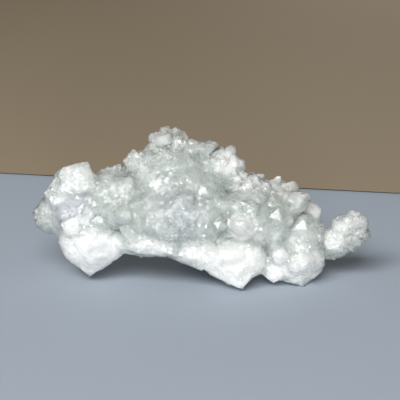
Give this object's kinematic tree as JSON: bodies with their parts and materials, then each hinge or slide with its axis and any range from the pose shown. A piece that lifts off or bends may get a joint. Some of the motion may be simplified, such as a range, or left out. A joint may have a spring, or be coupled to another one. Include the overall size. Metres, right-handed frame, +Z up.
{
  "type": "apophyllite cluster",
  "caption": "Arched cluster of intergrown milky to clear blocky crystals, a display specimen that rests on its own knobs.",
  "frame": {"origin": "middle of the bounding box in X and Y, on the resting plane", "axes": "+X along the specimen towards its thin arm, -Y the show face, +Z up"},
  "size_m": [0.1296, 0.0486, 0.0559],
  "materials": {
    "crystal": "glassy crystal faces, milky inside, with frosted white patches"
  },
  "bodies": {
    "root": {"crystal_cluster": "crystal"}
  },
  "joints": []
}
